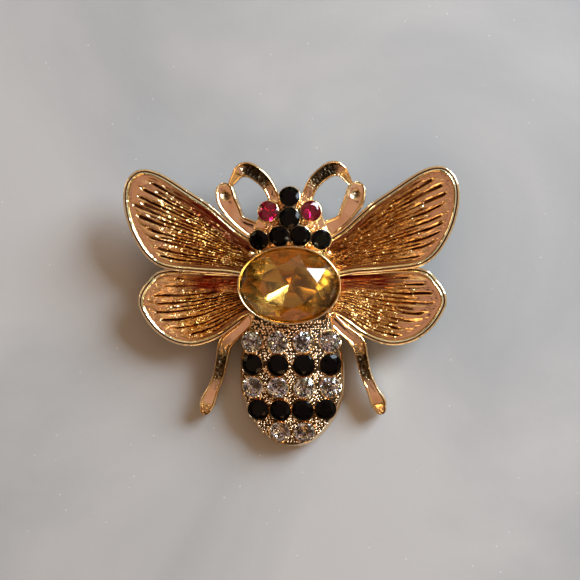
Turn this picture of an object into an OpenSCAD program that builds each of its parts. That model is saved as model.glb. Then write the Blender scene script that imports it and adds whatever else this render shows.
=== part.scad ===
// Bee brooch, lying face up: a gold plated casting set with an oval stone and
// rows of round stones, with a pin bar across its back.
// Lengths are in millimetres. X runs across the wings and Y to the antennae.
// The origin is on the table under the middle of the brooch.
// The pieces are drawn flat, with the middle of the oval stone at x 0, y 0 and
// the back rim of the body at z 0. rest_pose() then tips them tail down.

/* [Oval stone and its cup] */
// Length of the oval stone across the body
oval_l = 13.1; // [11:0.1:15.8]
// Width of the oval stone along the body
oval_w = 9.8; // [8.2:0.1:11.8]
// Height of the stone above its girdle
oval_crown_h = 1.7; // [1:0.1:2.4]
// Depth of the stone's point below its girdle
oval_point_h = 3.1; // [2:0.1:3.6]
// Thickness of the lip round the stone
lip_t = 0.3; // [0.25:0.05:0.5]
// Height of the lip above the back of the brooch
lip_h = 6.6; // [6:0.1:8]
// How far the cup spreads from its neck to its lip
cup_flare = 0.95; // [0.5:0.05:1.2]
// Height of the flared part of the cup
cup_flare_h = 3; // [2.5:0.1:3.5]

/* [Round stones] */
// Diameter of the round stones on the abdomen
abdomen_stone_d = 2.8; // [2.3:0.05:3.4]
// Diameter of the round stones on the head
head_stone_d = 2.7; // [2.2:0.05:3.3]
// Gap between a stone or the pin bar and the casting
fit_gap = 0.04; // [0.03:0.01:0.06]

/* [Abdomen] */
// Space between the stones across a row
column_space = 0.7; // [0.4:0.05:1]
// Space between one row of stones and the next
row_space = 0.25; // [0.15:0.05:0.5]
// Width of the beaded band between the cup and the first row
band_w = 1.1; // [0.6:0.1:1.5]
// Width of bare metal outside the outer stones
edge_w = 0.5; // [0.4:0.05:1]
// Width of bare metal behind the last row, at the tail
tail_w = 0.8; // [0.6:0.1:1.5]
// Diameter of the cast grains between the stones
grain_d = 0.5; // [0.3:0.05:0.6]
// Height of the back of the abdomen at its highest
abdomen_h = 4.6; // [4:0.1:5.2]
// Height of its side wall
side_wall_h = 2.6; // [2.4:0.1:3]
// Depth of the hollow in its underside
hollow_h = 1.2; // [0.6:0.1:1.4]
// Thickness of the wall round the hollow
hollow_wall = 1.4; // [1:0.1:2]
// How far the side wall leans in from its foot to its top
wall_lean = 0.25; // [0:0.05:0.4]

/* [Head] */
// Height of the head at its highest
head_h = 4.5; // [4:0.1:5]
// Height of the head's underside
head_z0 = 0.6; // [0.3:0.1:1]
// Space between the stones on the head
head_space = 0.12; // [0.1:0.02:0.4]
// Thickness of metal round a head stone
seat_wall = 0.17; // [0.1:0.01:0.3]
// Distance from the lip to the middle of the first row of head stones
head_row_off = 1.25; // [1.1:0.05:2]

/* [Wings] */
// Distance from the middle line to the tip of a forewing
forewing_reach = 22.75; // [19:0.25:27.5]
// Length of a forewing from its rear edge to its front edge
forewing_chord = 14.7; // [12.2:0.1:17.7]
// Distance from the oval stone's middle forward to a forewing's rear edge
forewing_rear_y = 1; // [0.5:0.1:1.5]
// Distance from the middle line to the tip of a hindwing
hindwing_reach = 20.95; // [17.45:0.1:25.15]
// Length of a hindwing from its rear edge to its front edge
hindwing_chord = 10.5; // [8.7:0.1:12.6]
// Height of a forewing's underside above the back of the brooch
forewing_z = 1; // [0.6:0.1:1.6]
// Height of a hindwing's underside above the back of the brooch
hindwing_z = 0.5; // [0.3:0.1:1]
// Thickness of a wing inside its rim
wing_t = 0.9; // [0.7:0.05:1.2]
// Width of the raised rim
rim_w = 0.7; // [0.5:0.05:1]
// Height of the rim above the floor of the wing
rim_h = 0.6; // [0.3:0.05:0.9]
// Number of veins on a forewing
forewing_veins = 14; // [10:1:16]
// Number of veins on a hindwing
hindwing_veins = 9; // [6:1:11]
// Width of a vein at its outer end
vein_w = 0.8; // [0.6:0.05:1]
// Height of a vein above the floor of the wing
vein_h = 0.3; // [0.15:0.05:0.4]
// Distance between the end of a vein and the edge of the wing
vein_stop = 1.35; // [1.1:0.05:2]
// Upward slope of the wings in degrees
wing_slope = 2; // [0:0.5:4]

/* [Antennae and legs] */
// Height of the underside of the antennae and forelegs
limb_z = 0.85; // [0.5:0.05:1.2]
// Height of the underside of the hind legs
hindleg_z = 0.2; // [0.1:0.05:0.6]
// Distance from the middle line to the curled end of an antenna
antenna_reach = 8.1; // [7.4:0.1:9.7]
// Distance from the oval stone's middle to the crest of an antenna
antenna_front = 16.5; // [15.8:0.1:19.8]
// Height of an antenna above the back of the brooch
antenna_h = 3.2; // [2.6:0.1:3.6]
// Distance from the middle line to the end of a foreleg
foreleg_reach = 8.95; // [8:0.05:10.7]
// Distance from the oval stone's middle to the end of a foreleg
foreleg_front = 12.6; // [11.6:0.1:15.1]
// Distance from the middle line to the foot of a hind leg
hindleg_reach = 11.9; // [10.5:0.1:14.2]
// Distance from the oval stone's middle back to the foot of a hind leg
hindleg_back = 17; // [14.1:0.1:20.4]
// Height of a leg above the back of the brooch
leg_h = 2.9; // [2.3:0.1:3.4]

/* [Pin back] */
// Length of the bar that is fixed to the back
pin_bar_l = 24; // [20:0.5:28]
// Width of the bar
pin_bar_w = 3.2; // [2.6:0.1:4]
// Thickness of the bar
pin_bar_t = 0.6; // [0.5:0.05:0.8]
// Distance from the oval stone's middle forward to the pin
pin_y = 2.5; // [0:0.1:3.5]
// Diameter of the pin wire
pin_wire_d = 0.8; // [0.6:0.05:1]
// Room round the wire inside the catch
pin_wire_room = 0.25; // [0.15:0.05:0.35]
// Diameter of the knuckle and of the catch
pin_barrel_d = 2.8; // [2.4:0.1:3.4]
// Length of the knuckle and of the catch
pin_barrel_l = 3; // [2:0.1:4]

/* [Hidden] */
// Ways round the meshed shapes
SIDES_STONE = 32;
SIDES_SEAT = 16;
SIDES_OVAL = 24;
SIDES_CUP = 32;
SIDES_LIMB = 8;
SIDES_PAD = 16;
SIDES_BEAD = 6;

// Shares that shape a round stone, of its diameter
TABLE_SHARE = 0.56;
CROWN_SHARE = 0.2;
GIRDLE_SHARE = 0.05;
POINT_SHARE = 0.4;
CULET_SHARE = 0.12;
SEAT_SHARE = 0.36;

// Shares that shape the oval stone
OVAL_TABLE_SHARE = 0.62;
OVAL_CULET_SHARE = 0.1;
OVAL_BEND_SHARE = 0.52;

// Shares that shape the limbs: upright wall, and width on top
LIMB_WALL_SHARE = 0.55;
LIMB_TOP_SHARE = 0.45;

// Angles and share that set the outer, middle and eye stones of the head
HEAD_OUTER_TURN = 10;
HEAD_MIDDLE_TURN = 60;
EYE_TURN = 17;
EYE_SHARE = 1.06;

// How fast the back of the head falls away, for each mm squared
HEAD_ACROSS = 0.035;
HEAD_ALONG = 0.045;

// Where the veins end, as shares of the way round a wing's outline, and where
// they start, as shares of its reach and chord
FIRST_END = 0;
LAST_END = 1;
ROOT_OUT = 2;
ROOT_FRONT = 3;
ROOT_REAR = 4;
FOREWING_FAN = [0.17, 0.8, 0.3, 0.36, 0.1];
HINDWING_FAN = [0.28, 0.74, 0.35, 0.02, -0.3];
VEIN_SUNK = 0.1;
RIM_STEP = 0.1;

// Columns of the tables of outlines and limbs
OUT = 0;
ALONG = 1;
WIDE = 2;
HIGH = 3;

// Half of the abdomen from the cup to the tail.
// Columns: out, share of abdomen_half_w; along, share of abdomen_l.
ABDOMEN_EDGE = [
    [0.78, 0.10], [0.80, 0.22], [0.90, 0.36], [0.985, 0.455], [1.00, 0.59],
    [0.98, 0.685], [0.93, 0.735], [0.85, 0.80], [0.745, 0.856], [0.615, 0.91],
    [0.455, 0.955], [0.30, 0.985], [0.12, 1.0]
];

// Rows of stones on the abdomen, from the cup to the tail.
// Columns: how many; space between them, share of column_space; colour.
COUNT = 0;
SPACE = 1;
KIND = 2;
ABDOMEN_ROWS = [
    [4, 1, "clear"], [4, 1, "black"], [4, 1, "clear"], [4, 0.286, "black"],
    [2, 0.8, "clear"]
];

// Outline of a forewing, from its front root round the tip to its rear root.
// Columns: out, share of forewing_reach; along, share of forewing_chord.
FOREWING_EDGE = [
    [0.19, 0.285], [0.317, 0.447], [0.466, 0.650], [0.602, 0.793], [0.768, 0.956],
    [0.884, 1.0], [0.962, 0.932], [0.998, 0.79], [0.991, 0.592], [0.946, 0.380],
    [0.866, 0.188], [0.763, 0.083], [0.60, 0.045], [0.40, 0.022], [0.19, 0.0]
];

// Outline of a hindwing, from its front root round the tip to its rear root.
// Columns: out, share of hindwing_reach; along, share of hindwing_chord.
HINDWING_EDGE = [
    [0.22, 0.90], [0.56, 0.99], [0.84, 0.99], [0.951, 0.817], [1.0, 0.62],
    [0.984, 0.445], [0.900, 0.205], [0.775, 0.040], [0.628, 0.0], [0.471, 0.106],
    [0.315, 0.324], [0.20, 0.45]
];

// Route of an antenna from the head to its curled end.
// Columns: out, share of antenna_reach; along, share of antenna_front;
// wide, mm across; high, share of antenna_h.
ANTENNA_ROUTE = [
    [0.26, 0.672, 1.5, 0.9], [0.325, 0.764, 1.6, 0.92], [0.417, 0.838, 1.75, 0.96],
    [0.533, 0.891, 1.9, 1.0], [0.658, 0.930, 2.0, 1.0], [0.76, 0.937, 2.0, 0.98],
    [0.85, 0.917, 1.7, 0.93], [0.90, 0.889, 1.3, 0.85], [1.0, 0.82, 0.7, 0.7]
];

// Route of a foreleg from the wing root to its clubbed end.
// Columns as above, of foreleg_reach, foreleg_front and leg_h.
FORELEG_ROUTE = [
    [0.60, 0.60, 2.4, 0.85], [0.776, 0.681, 1.6, 0.9], [0.875, 0.787, 2.2, 0.96],
    [0.957, 0.894, 2.6, 1.0], [0.99, 0.985, 2.6, 0.95]
];

// Route of a hind leg from the wing root to the foot.
// Columns as above, of hindleg_reach, hindleg_back and leg_h.
HINDLEG_ROUTE = [
    [0.47, 0.28, 1.6, 1.0], [0.60, 0.37, 1.65, 1.0], [0.752, 0.467, 2.0, 1.0],
    [0.798, 0.586, 1.65, 0.95], [0.838, 0.717, 1.5, 0.9], [0.905, 0.835, 1.6, 0.85],
    [0.975, 0.945, 2.2, 0.8], [1.0, 1.0, 1.7, 0.75]
];

// The cup and the girdle of the oval stone inside its lip
lip_a = oval_l / 2 + fit_gap + lip_t;
lip_b = oval_w / 2 + fit_gap + lip_t;
oval_girdle_t = 0.3;
lip_over_girdle = 0.2;
girdle_z = lip_h - lip_over_girdle - oval_girdle_t;
neck_z = lip_h - cup_flare_h;
shoulder_z = lip_h - 1.1;

// The abdomen takes its length and width from the stones that it carries
abdomen_row_y = lip_b + band_w + abdomen_stone_d / 2;
row_pitch = abdomen_stone_d + row_space;
rows_l = (len(ABDOMEN_ROWS) - 1) * row_pitch;
abdomen_l = abdomen_row_y + rows_l + abdomen_stone_d / 2 + tail_w;
abdomen_half_w = 2 * abdomen_stone_d + 1.5 * column_space + edge_w;
dome_y = -0.42 * abdomen_l;
dome_across = (abdomen_h - side_wall_h) / pow(abdomen_half_w, 2);
dome_along = (abdomen_h - side_wall_h) / pow(abdomen_l + dome_y, 2);

// The head's stones stand in a pattern that grows from the lip
head_pitch = head_stone_d + head_space;
head_row_y = lip_b + head_row_off;
head_outer_x = head_pitch * (0.5 + cos(HEAD_OUTER_TURN));
head_outer_y = head_row_y - head_pitch * sin(HEAD_OUTER_TURN);
head_mid_y = head_row_y + head_pitch * sin(HEAD_MIDDLE_TURN);
eye_x = EYE_SHARE * head_pitch * cos(EYE_TURN);
eye_y = head_mid_y + EYE_SHARE * head_pitch * sin(EYE_TURN);
head_top_y = head_mid_y + head_pitch;
head_dome_y = head_row_y + head_pitch / 2;

// Columns of a stone's place
NAME = 0;
PLACE = 1;
FACING = 2;

// Height and outward direction of the abdomen's back at x, y
function abdomen_z(x, y) =
    abdomen_h - dome_across * x * x - dome_along * pow(y - dome_y, 2);
function abdomen_facing(x, y) = [2 * dome_across * x, 2 * dome_along * (y - dome_y), 1];

// The same for the head
function head_z(x, y) =
    head_h - HEAD_ACROSS * x * x - HEAD_ALONG * pow(y - head_dome_y, 2);
function head_facing(x, y) = [2 * HEAD_ACROSS * x, 2 * HEAD_ALONG * (y - head_dome_y), 1];

function abdomen_stone(row, k) =
    let (
        rule = ABDOMEN_ROWS[row],
        pitch = abdomen_stone_d + rule[SPACE] * column_space,
        x = (k - (rule[COUNT] - 1) / 2) * pitch,
        y = -abdomen_row_y - row * row_pitch
    )
    [
        str(rule[KIND], "_stone_", row + 1, "_", k + 1),
        [x, y, abdomen_z(x, y)],
        abdomen_facing(x, y)
    ];

function head_stone(name, x, y) = [name, [x, y, head_z(x, y)], head_facing(x, y)];

ABDOMEN_STONES = [
    for (row = [0 : len(ABDOMEN_ROWS) - 1])
        for (k = [0 : ABDOMEN_ROWS[row][COUNT] - 1])
            abdomen_stone(row, k)
];
HEAD_STONES = [
    head_stone("head_stone_lower_1", -head_outer_x, head_outer_y),
    head_stone("head_stone_lower_2", -head_pitch / 2, head_row_y),
    head_stone("head_stone_lower_3", head_pitch / 2, head_row_y),
    head_stone("head_stone_lower_4", head_outer_x, head_outer_y),
    head_stone("head_stone_middle", 0, head_mid_y),
    head_stone("head_stone_top", 0, head_top_y),
    head_stone("eye_stone_left", -eye_x, eye_y),
    head_stone("eye_stone_right", eye_x, eye_y)
];
FIRST_EYE = 6;

// The pin back
pin_top_z = -fit_gap;
barrel_sunk = 0.1;
pin_axis_z = pin_top_z - pin_bar_t - pin_barrel_d / 2 + barrel_sunk;
pin_wire_l = pin_bar_l - pin_barrel_l / 2;
catch_bore_d = pin_wire_d + 2 * pin_wire_room;

// The brooch lies on the end of its tail and on the knuckle and catch
pin_to_tail = abdomen_l + pin_y;
pin_drop = -pin_axis_z;
pin_from_tail = sqrt(pow(pin_to_tail, 2) + pow(pin_drop, 2));
rest_tilt = atan(pin_drop / pin_to_tail) + asin(pin_barrel_d / 2 / pin_from_tail);
rest_lift = abdomen_l * sin(rest_tilt);
crest_y = antenna_front * cos(rest_tilt) - 0.55 * antenna_h * sin(rest_tilt);
tail_y = -abdomen_l * cos(rest_tilt);
rest_shift = -(crest_y + tail_y) / 2;

// Points of a closed outline, eased through the rows of its table
function eased(a, b, c, d, t) =
    0.5 * (2 * b + (c - a) * t + (2 * a - 5 * b + 4 * c - d) * t * t
        + (3 * b - a - 3 * c + d) * t * t * t);
function eased_loop(table, steps) =
    let (n = len(table))
    [
        for (i = [0 : n - 1])
            for (s = [0 : steps - 1])
                eased(table[(i + n - 1) % n], table[i], table[(i + 1) % n],
                    table[(i + 2) % n], s / steps)
    ];

// The same outline a distance further in
function inset(loop, distance) =
    let (n = len(loop))
    [
        for (i = [0 : n - 1])
            let (run = loop[(i + 1) % n] - loop[(i + n - 1) % n])
            loop[i] + distance / norm(run) * [run[1], -run[0]]
    ];

function ellipse_ring(a, b, z, sides) =
    [for (k = [0 : sides - 1]) [a * cos(360 * k / sides), b * sin(360 * k / sides), z]];

// Closed shape through rings of points that all run the same way round
module loft(rings) {
    n = len(rings[0]);
    last = len(rings) - 1;
    points = [for (ring = rings) for (point = ring) point];
    sides = [
        for (i = [0 : last - 1])
            for (j = [0 : n - 1])
                let (k = (j + 1) % n)
                each [[i * n + j, i * n + n + k, i * n + k], [i * n + j, i * n + n + j, i * n + n + k]]
    ];
    foot = [for (j = [0 : n - 1]) j];
    head = [for (j = [n - 1 : -1 : 0]) last * n + j];
    polyhedron(points, concat([foot, head], sides));
}

module rest_pose() {
    translate([0, rest_shift, rest_lift])
        rotate([rest_tilt, 0, 0])
            children();
}

module both_sides() {
    children();
    mirror([1, 0, 0])
        children();
}

// Turns what points up to the given direction and moves it to its place
module stand_at(place, facing) {
    lean = acos(facing[2] / norm(facing));
    around = atan2(facing[1], facing[0]);
    translate(place)
        rotate([0, lean, around])
            children();
}

// A round stone cut to a point, with its girdle at z 0
module round_stone(d) {
    r = d / 2;
    rotate_extrude($fn = SIDES_STONE)
        polygon([
            [0, -POINT_SHARE * d], [r * CULET_SHARE, -POINT_SHARE * d], [r, 0],
            [r, GIRDLE_SHARE * d], [r * TABLE_SHARE, CROWN_SHARE * d],
            [0, CROWN_SHARE * d]
        ]);
}

// The room that a round stone needs in the casting
module round_seat(d) {
    r = (d / 2 + fit_gap) / cos(180 / SIDES_SEAT);
    depth = POINT_SHARE * d + fit_gap;
    translate([0, 0, -depth])
        cylinder(h = depth, r1 = r * CULET_SHARE + fit_gap, r2 = r, $fn = SIDES_SEAT);
    cylinder(h = SEAT_SHARE * d, r = r, $fn = SIDES_SEAT);
}

// Rings of the oval stone, or of its room in the cup when room is above 0
function oval_rings(room) =
    let (a = oval_l / 2 + room, b = oval_w / 2 + room, top = girdle_z + oval_girdle_t)
    [
        for (rule = [
            [OVAL_CULET_SHARE, girdle_z - oval_point_h - room],
            [OVAL_TABLE_SHARE, girdle_z - OVAL_BEND_SHARE * oval_point_h - room],
            [1, girdle_z - room],
            [1, room > 0 ? top + oval_crown_h : top],
            if (room == 0) [OVAL_TABLE_SHARE, top + oval_crown_h]
        ])
            ellipse_ring(rule[0] * a, rule[0] * b, rule[1], SIDES_OVAL)
    ];

module oval_stone() color("goldenrod") rest_pose() {
    loft(oval_rings(0));
}

// The flared cup under the oval stone, down to the back of the brooch
module cup() {
    neck_a = lip_a - cup_flare;
    neck_b = lip_b - cup_flare;
    loft([
        ellipse_ring(neck_a + 0.3, neck_b + 0.3, 0, SIDES_CUP),
        ellipse_ring(neck_a + 0.1, neck_b + 0.1, side_wall_h, SIDES_CUP),
        ellipse_ring(neck_a, neck_b, neck_z, SIDES_CUP),
        ellipse_ring(lip_a - 0.12, lip_b - 0.12, shoulder_z, SIDES_CUP),
        ellipse_ring(lip_a, lip_b, lip_h, SIDES_CUP)
    ]);
}

// One cut through the abdomen, from its right foot over the back to its left foot
function abdomen_ring(row) =
    let (w = row[OUT] * abdomen_half_w, y = -row[ALONG] * abdomen_l)
    [
        [w, y, 0],
        for (t = [1 : -2 / 7 : -1.01])
            let (x = t * max(w - wall_lean, 0.05))
            [x, y + wall_lean * pow(row[ALONG], 12), abdomen_z(x, y)],
        [-w, y, 0]
    ];

module abdomen() {
    loft([for (row = ABDOMEN_EDGE) abdomen_ring(row)]);
}

module abdomen_hollow() {
    right = [
        for (row = ABDOMEN_EDGE)
            if (row[ALONG] > 0.3)
                [row[OUT] * abdomen_half_w, -row[ALONG] * abdomen_l]
    ];
    left = [for (i = [len(right) - 1 : -1 : 0]) [-right[i][0], right[i][1]]];
    translate([0, 0, -1])
        linear_extrude(hollow_h + 1)
            offset(delta = -hollow_wall)
                polygon(concat(right, left));
}

// Small cast grains in the corners between the abdomen's stones
module grains() {
    pitch = abdomen_stone_d + column_space;
    for (row = [0 : len(ABDOMEN_ROWS) - 2], k = [-1 : 1]) {
        x = k * pitch;
        y = -abdomen_row_y - (row + 0.5) * row_pitch;
        if (abs(x) < 0.4 * abdomen_half_w || row < len(ABDOMEN_ROWS) - 2)
            translate([x, y, abdomen_z(x, y)])
                sphere(d = grain_d, $fn = SIDES_BEAD);
    }
}

// A pad under a head stone, from the head's underside up to the girdle
module pad(place, facing) {
    r = head_stone_d / 2 + seat_wall;
    disc = 0.2;
    hull() {
        translate([place[0], place[1], head_z0])
            cylinder(h = disc, r = r, $fn = SIDES_PAD);
        stand_at(place, facing)
            translate([0, 0, -disc])
                cylinder(h = disc, r = r, $fn = SIDES_PAD);
    }
}

// The pads stand on a web that also fills the corners beside the cup
module head() {
    web_drop = 0.7;
    for (stone = HEAD_STONES)
        pad(stone[PLACE], stone[FACING]);
    hull() {
        for (stone = HEAD_STONES)
            translate([stone[PLACE][0], stone[PLACE][1], head_z0])
                cylinder(h = stone[PLACE][2] - head_z0 - web_drop, r = head_stone_d / 2,
                    $fn = SIDES_LIMB);
        for (side = [-1, 1])
            translate([side * 0.75 * lip_a, 0.4 * lip_b, head_z0])
                cylinder(h = side_wall_h - head_z0, r = head_stone_d / 2, $fn = SIDES_LIMB);
    }
}

// One straight vein, a low ridge from one point to another
module vein(from, to) {
    hull() {
        translate([from[0], from[1], -VEIN_SUNK])
            cylinder(h = 0.7 * vein_h + VEIN_SUNK, r1 = 0.3 * vein_w, r2 = 0.1 * vein_w, $fn = 4);
        translate([to[0], to[1], -VEIN_SUNK])
            cylinder(h = vein_h + VEIN_SUNK, r1 = vein_w / 2, r2 = 0.2 * vein_w, $fn = 4);
    }
}

// A wing of even thickness with a raised rim and a fan of veins on it.
// The veins run from a line across the root to the outline.
module wing(table, reach, chord, rear_y, fan, veins) {
    outline = [
        for (p = eased_loop(table, 3))
            [p[OUT] * reach, p[ALONG] * chord + rear_y]
    ];
    front = [fan[ROOT_OUT] * reach, fan[ROOT_FRONT] * chord];
    rear = [fan[ROOT_OUT] * reach, fan[ROOT_REAR] * chord];
    linear_extrude(wing_t)
        polygon(outline);
    linear_extrude(wing_t + rim_h)
        difference() {
            polygon(inset(outline, RIM_STEP));
            polygon(inset(outline, rim_w));
        }
    for (k = [0 : veins - 1]) {
        share = k / (veins - 1);
        from = front + (rear - front) * share;
        way = fan[FIRST_END] + (fan[LAST_END] - fan[FIRST_END]) * share;
        aim = outline[floor(way * len(outline))];
        translate([0, 0, wing_t])
            vein(from, aim + (from - aim) * vein_stop / norm(aim - from));
    }
}

module forewing() {
    translate([0, 0, forewing_z])
        rotate([0, -wing_slope, 0])
            wing(FOREWING_EDGE, forewing_reach, forewing_chord, forewing_rear_y,
                FOREWING_FAN, forewing_veins);
}

module hindwing() {
    translate([0, 0, hindwing_z])
        rotate([0, -wing_slope, 0])
            wing(HINDWING_EDGE, hindwing_reach, hindwing_chord, -0.8 * hindwing_chord,
                HINDWING_FAN, hindwing_veins);
}

// A rounded bar through the rows of a route, wider at its foot than on top
module limb(route, reach, along, tall, foot_z) {
    spots = [
        for (row = route)
            [row[OUT] * reach, row[ALONG] * along, row[WIDE] / 2, row[HIGH] * tall]
    ];
    for (i = [0 : len(spots) - 2])
        hull()
            for (spot = [spots[i], spots[i + 1]])
                translate([spot[0], spot[1], foot_z]) {
                    rise = spot[3] - foot_z;
                    cylinder(h = LIMB_WALL_SHARE * rise, r = spot[2], $fn = SIDES_LIMB);
                    cylinder(h = rise, r1 = spot[2], r2 = LIMB_TOP_SHARE * spot[2],
                        $fn = SIDES_LIMB);
                }
}

module antenna() {
    limb(ANTENNA_ROUTE, antenna_reach, antenna_front, antenna_h, limb_z);
}

module foreleg() {
    limb(FORELEG_ROUTE, foreleg_reach, foreleg_front, leg_h, limb_z);
}

module hindleg() {
    limb(HINDLEG_ROUTE, hindleg_reach, -hindleg_back, leg_h, hindleg_z);
}

module casting() color("gold") rest_pose() {
    difference() {
        union() {
            cup();
            abdomen();
            head();
            grains();
            both_sides() {
                forewing();
                hindwing();
                antenna();
                foreleg();
                hindleg();
            }
        }
        loft(oval_rings(fit_gap));
        abdomen_hollow();
        for (stone = ABDOMEN_STONES)
            stand_at(stone[PLACE], stone[FACING])
                round_seat(abdomen_stone_d);
        for (stone = HEAD_STONES)
            stand_at(stone[PLACE], stone[FACING])
                round_seat(head_stone_d);
    }
}

module abdomen_stone_piece(stone) {
    shade = search("black", stone[NAME]) == [] ? "lavenderblush" : "black";
    color(shade)
        rest_pose()
            stand_at(stone[PLACE], stone[FACING])
                round_stone(abdomen_stone_d);
}

module head_stone_piece(stone, shade) {
    color(shade)
        rest_pose()
            stand_at(stone[PLACE], stone[FACING])
                round_stone(head_stone_d);
}

// Bar, knuckle, wire and catch in one piece
module pin_back() color("silver") rest_pose() translate([0, pin_y, 0]) {
    barrel_x = (pin_bar_l - pin_barrel_l) / 2;
    difference() {
        union() {
            translate([-pin_bar_l / 2, -pin_bar_w / 2, pin_top_z - pin_bar_t])
                cube([pin_bar_l, pin_bar_w, pin_bar_t]);
            for (x = [-barrel_x, barrel_x])
                translate([x - pin_barrel_l / 2, 0, pin_axis_z])
                    rotate([0, 90, 0])
                        cylinder(h = pin_barrel_l, d = pin_barrel_d, $fn = SIDES_STONE);
        }
        translate([barrel_x - pin_barrel_l, 0, pin_axis_z])
            rotate([0, 90, 0])
                cylinder(h = 2 * pin_barrel_l, d = catch_bore_d, $fn = SIDES_STONE);
    }
    translate([-barrel_x, 0, pin_axis_z])
        rotate([0, 90, 0])
            cylinder(h = pin_wire_l, d = pin_wire_d, $fn = SIDES_STONE);
}

casting();
oval_stone();
pin_back();
for (stone = ABDOMEN_STONES)
    abdomen_stone_piece(stone);
for (i = [0 : len(HEAD_STONES) - 1])
    head_stone_piece(HEAD_STONES[i], i < FIRST_EYE ? "black" : "crimson");
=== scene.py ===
import math

import bmesh
import bpy
import numpy as np
from mathutils import Matrix, Vector
from mathutils.kdtree import KDTree


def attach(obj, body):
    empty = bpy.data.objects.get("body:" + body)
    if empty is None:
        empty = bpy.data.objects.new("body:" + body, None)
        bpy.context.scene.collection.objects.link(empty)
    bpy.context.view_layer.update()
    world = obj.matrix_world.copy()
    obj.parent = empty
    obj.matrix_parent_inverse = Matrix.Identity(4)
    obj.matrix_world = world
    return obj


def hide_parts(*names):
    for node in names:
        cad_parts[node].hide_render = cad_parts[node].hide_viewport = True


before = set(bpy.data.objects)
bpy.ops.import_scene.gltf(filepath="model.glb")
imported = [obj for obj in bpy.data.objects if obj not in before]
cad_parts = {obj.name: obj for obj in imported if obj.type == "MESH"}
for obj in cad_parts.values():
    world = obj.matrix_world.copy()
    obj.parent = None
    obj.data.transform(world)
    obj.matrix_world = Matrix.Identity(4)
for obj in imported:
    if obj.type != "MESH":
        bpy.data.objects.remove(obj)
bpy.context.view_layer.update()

# The table is a slab of pale honed marble, with faint grey clouds and a few
# painted crystal glints in it. The brooch lies loose on it, tipped back on its tail.
TABLE_HALF = 0.6
MARBLE_LIGHT = "A5A5A3"
MARBLE_CLOUD = "8C8F8F"


def linear(code):
    """An sRGB hex value as a linear colour."""
    shares = [int(code[i:i + 2], 16) / 255 for i in (0, 2, 4)]
    return [c / 12.92 if c <= 0.04045 else ((c + 0.055) / 1.055) ** 2.4 for c in shares] + [1.0]


def add(tree, kind, inputs=None, **settings):
    """Adds a node with its settings. A kind without the word Node in it is a shader
    node's. An input takes a value, another node's output, or a whole node, which
    stands for its first output."""
    node = tree.nodes.new(kind if "Node" in kind else "ShaderNode" + kind)
    for name, value in settings.items():
        setattr(node, name, value)
    for name, value in (inputs or {}).items():
        if isinstance(value, bpy.types.Node):
            value = value.outputs[0]
        if isinstance(value, bpy.types.NodeSocket):
            tree.links.new(value, node.inputs[name])
        else:
            node.inputs[name].default_value = value
    return node


def finish_tree(name):
    """A new material with an empty node tree."""
    material = bpy.data.materials.new(name)
    material.use_nodes = True
    material.node_tree.nodes.clear()
    return material, material.node_tree


# Honed marble: a soft sheen with no clear reflection, clouds 20 to 60 mm wide and
# a grain of 1 mm.
marble, tree = finish_tree("honed_marble")
place = add(tree, "TexCoord").outputs["Object"]
clouds = add(tree, "TexNoise", {"Vector": place, "Scale": 22, "Detail": 5, "Distortion": 0.6})
tone = add(tree, "ValToRGB", {"Fac": clouds})
stops = tone.color_ramp.elements
stops[0].position, stops[0].color = 0.3, linear(MARBLE_CLOUD)
stops[1].position, stops[1].color = 0.6, linear(MARBLE_LIGHT)
# Painted glints: white specks 0.2 mm across, 2.4 mm apart, painted into the marble's colour for the
# glints of its crystals.
cells = add(tree, "TexVoronoi", {"Vector": place, "Scale": 420})
painted_glint = add(tree, "MapRange", {0: cells, 1: 0.03, 2: 0.05, 3: 0.3, 4: 0.0})
colour = add(tree, "Mix", {0: painted_glint, 6: tone, 7: linear("FFFFFF")}, data_type="RGBA")
grit = add(tree, "TexNoise", {"Vector": place, "Scale": 900, "Detail": 2})
grain = add(tree, "Bump", {"Height": grit, "Strength": 0.15, "Distance": 0.0001})
shader = add(tree, "BsdfPrincipled", {
    "Base Color": colour.outputs[2], "Roughness": 0.5, "Normal": grain})
add(tree, "OutputMaterial", {"Surface": shader})

bpy.ops.mesh.primitive_grid_add(x_subdivisions=8, y_subdivisions=8, size=2 * TABLE_HALF)
table = bpy.context.object
table.name = "table"
table.data.materials.append(marble)

# Soft daylight: one wide window at the upper right, two weak warm lamps at the left
# and below, and a dim warm room above, which is what the flat gold reflects.
CAMERA_FAR = 0.2113
CAMERA_RIGHT, CAMERA_LOW = math.radians(4), math.radians(5)
LOOK_AT = Vector((-0.00025, 0.0019, 0.004))
LENS, SENSOR = 96.56, 36
# Heights in the room, from straight below at 0 to straight above at 1, with the
# tones there on the side away from the window and on the window's side.
ROOM_HEIGHTS = (0.0, 0.3, 0.5, 0.62, 0.74, 0.84, 1.0)
FAR_SIDE = ("7C654B", "453527", "594835", "9A7E58", "AE8E62", "BC9384", "C79F95")
WINDOW_SIDE = ("BCA68B", "907E69", "CBB89B", "FFF6CE", "FFF0C4", "BC9384", "C79F95")
WINDOW_WAY = (0.82, 0.57, 0.0)
PATCH_WAY = (0.07, -0.087, 0.994)


def put_in_scene(name, data):
    thing = bpy.data.objects.new(name, data)
    bpy.context.scene.collection.objects.link(thing)
    return thing


def lamp(name, direction, distance, size, power, code):
    data = bpy.data.lights.new(name, "AREA")
    data.shape = "RECTANGLE"
    data.size, data.size_y = size
    data.energy = power
    data.color = linear(code)[:3]
    light = put_in_scene(name, data)
    way = Vector(direction).normalized()
    light.location = way * distance
    light.rotation_euler = way.to_track_quat("Z", "Y").to_euler()


lamp("window", (1.32, 0.92, 1.0), 0.75, (0.41, 0.41), 12.8, "E2F0FF")
lamp("far_window", (-0.85, 0.3, 0.25), 0.7, (0.2, 0.2), 0.5, "FFD8A8")
lamp("fill", (0.1, -0.8, 0.6), 0.7, (0.4, 0.2), 0.9, "FFC88A")

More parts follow.
